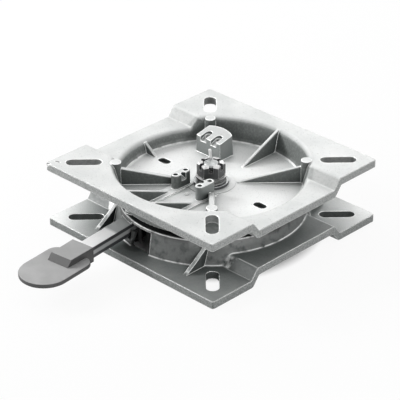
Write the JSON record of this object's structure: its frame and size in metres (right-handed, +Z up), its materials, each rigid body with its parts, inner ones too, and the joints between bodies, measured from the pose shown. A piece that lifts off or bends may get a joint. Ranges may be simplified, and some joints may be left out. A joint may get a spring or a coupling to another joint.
{
  "type": "swivel seat base",
  "caption": "Two square cast plates with round drums turn on a central pivot bolt, locked by a sprung side lever with a flat grip; fixing slots in the corners.",
  "frame": {"origin": "on the pivot bolt's axis, in the plane of the lower mounting face", "axes": "+Z up along the pivot bolt, the lever points towards -Y, the lowered channels of both plates run along X"},
  "size_m": [0.28, 0.4147, 0.0949],
  "materials": {
    "cast_aluminium": "matt, shot-blasted",
    "zinc_plate": "bright zinc",
    "dark_steel": "blackened, edges worn bright",
    "hard_steel": "ground",
    "chrome": "polished",
    "grey_plastic": "moulded, satin",
    "white_nylon": "natural",
    "bronze": "sintered, oiled"
  },
  "bodies": {
    "base": {"lower_casting": "cast_aluminium", "slide_ring": "white_nylon", "slide_ring_screws": "zinc_plate", "hub_bush": "bronze", "thrust_washer": "bronze", "lever_pivot_bolt": "zinc_plate", "lever_washer": "bronze", "keeper_washer": "zinc_plate", "return_spring": "hard_steel", "spring_anchor_pin": "zinc_plate", "lever_stop_pin": "zinc_plate"},
    "turntable": {"upper_casting": "cast_aluminium", "pivot_bolt": "zinc_plate", "bolt_head_washer": "zinc_plate", "lock_disc": "hard_steel", "drive_dowels": "hard_steel", "support_washer": "zinc_plate", "disc_springs": "dark_steel", "castle_nut": "dark_steel", "split_pin": "zinc_plate"},
    "release_lever": {"lever_bar": "chrome", "lock_pawl": "hard_steel", "pawl_rivets": "zinc_plate", "lever_handle": "grey_plastic", "lever_bush": "bronze"}
  },
  "joints": [
    {"name": "turntable_swivel", "type": "hinge", "parent": "base", "child": "turntable", "pos_m": [0, 0, 0], "axis": [0, 0, 1], "continuous": true},
    {"name": "lever_release", "type": "hinge", "parent": "base", "child": "release_lever", "pos_m": [-0.03735, -0.09246, 0.025], "axis": [0, 0, 1], "range_deg": [0, 7], "stiffness_Nm_per_rad": 6, "springref_deg": -20.05, "deforming": ["return_spring"]}
  ]
}
